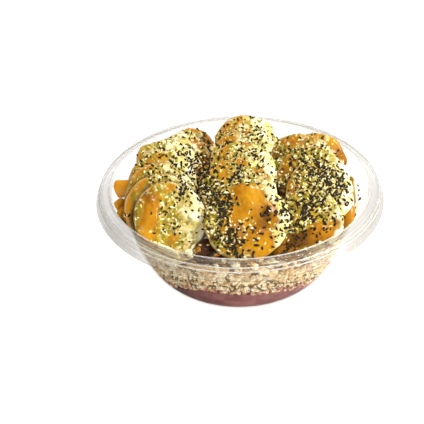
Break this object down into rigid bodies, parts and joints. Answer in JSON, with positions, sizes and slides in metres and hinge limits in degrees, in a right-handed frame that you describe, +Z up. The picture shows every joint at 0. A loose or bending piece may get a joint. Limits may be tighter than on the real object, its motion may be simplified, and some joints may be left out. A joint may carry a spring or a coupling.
{
  "type": "acai bowl",
  "caption": "Clear round takeaway bowl of frozen acai and granola, topped with rows of banana slices under nut sauce and mixed seeds.",
  "frame": {"origin": "centre of the base, on the surface the bowl stands on", "axes": "+Z up, -Y towards the front slice of each row, +X to the right"},
  "size_m": [0.152, 0.152, 0.0693],
  "materials": {
    "clear_plastic": "clear, thin, glossy",
    "acai": "frozen fruit puree, soft matt",
    "granola": "toasted oats and clusters, dry",
    "banana": "moist cut fruit, satin",
    "nut_sauce": "thick pouring sauce, glossy",
    "dark_seeds": "black seeds, satin",
    "pale_seeds": "hulled cream and pale green seeds, satin"
  },
  "bodies": {
    "root": {"bowl": "clear_plastic", "acai": "acai", "granola": "granola", "slice_left_1": "banana", "slice_left_2": "banana", "slice_left_3": "banana", "slice_left_4": "banana", "slice_left_5": "banana", "slice_left_6": "banana", "slice_left_7": "banana", "slice_centre_1": "banana", "slice_centre_2": "banana", "slice_centre_3": "banana", "slice_centre_4": "banana", "slice_centre_5": "banana", "slice_right_1": "banana", "slice_right_2": "banana", "slice_right_3": "banana", "slice_right_4": "banana", "slice_right_5": "banana"}
  },
  "joints": []
}
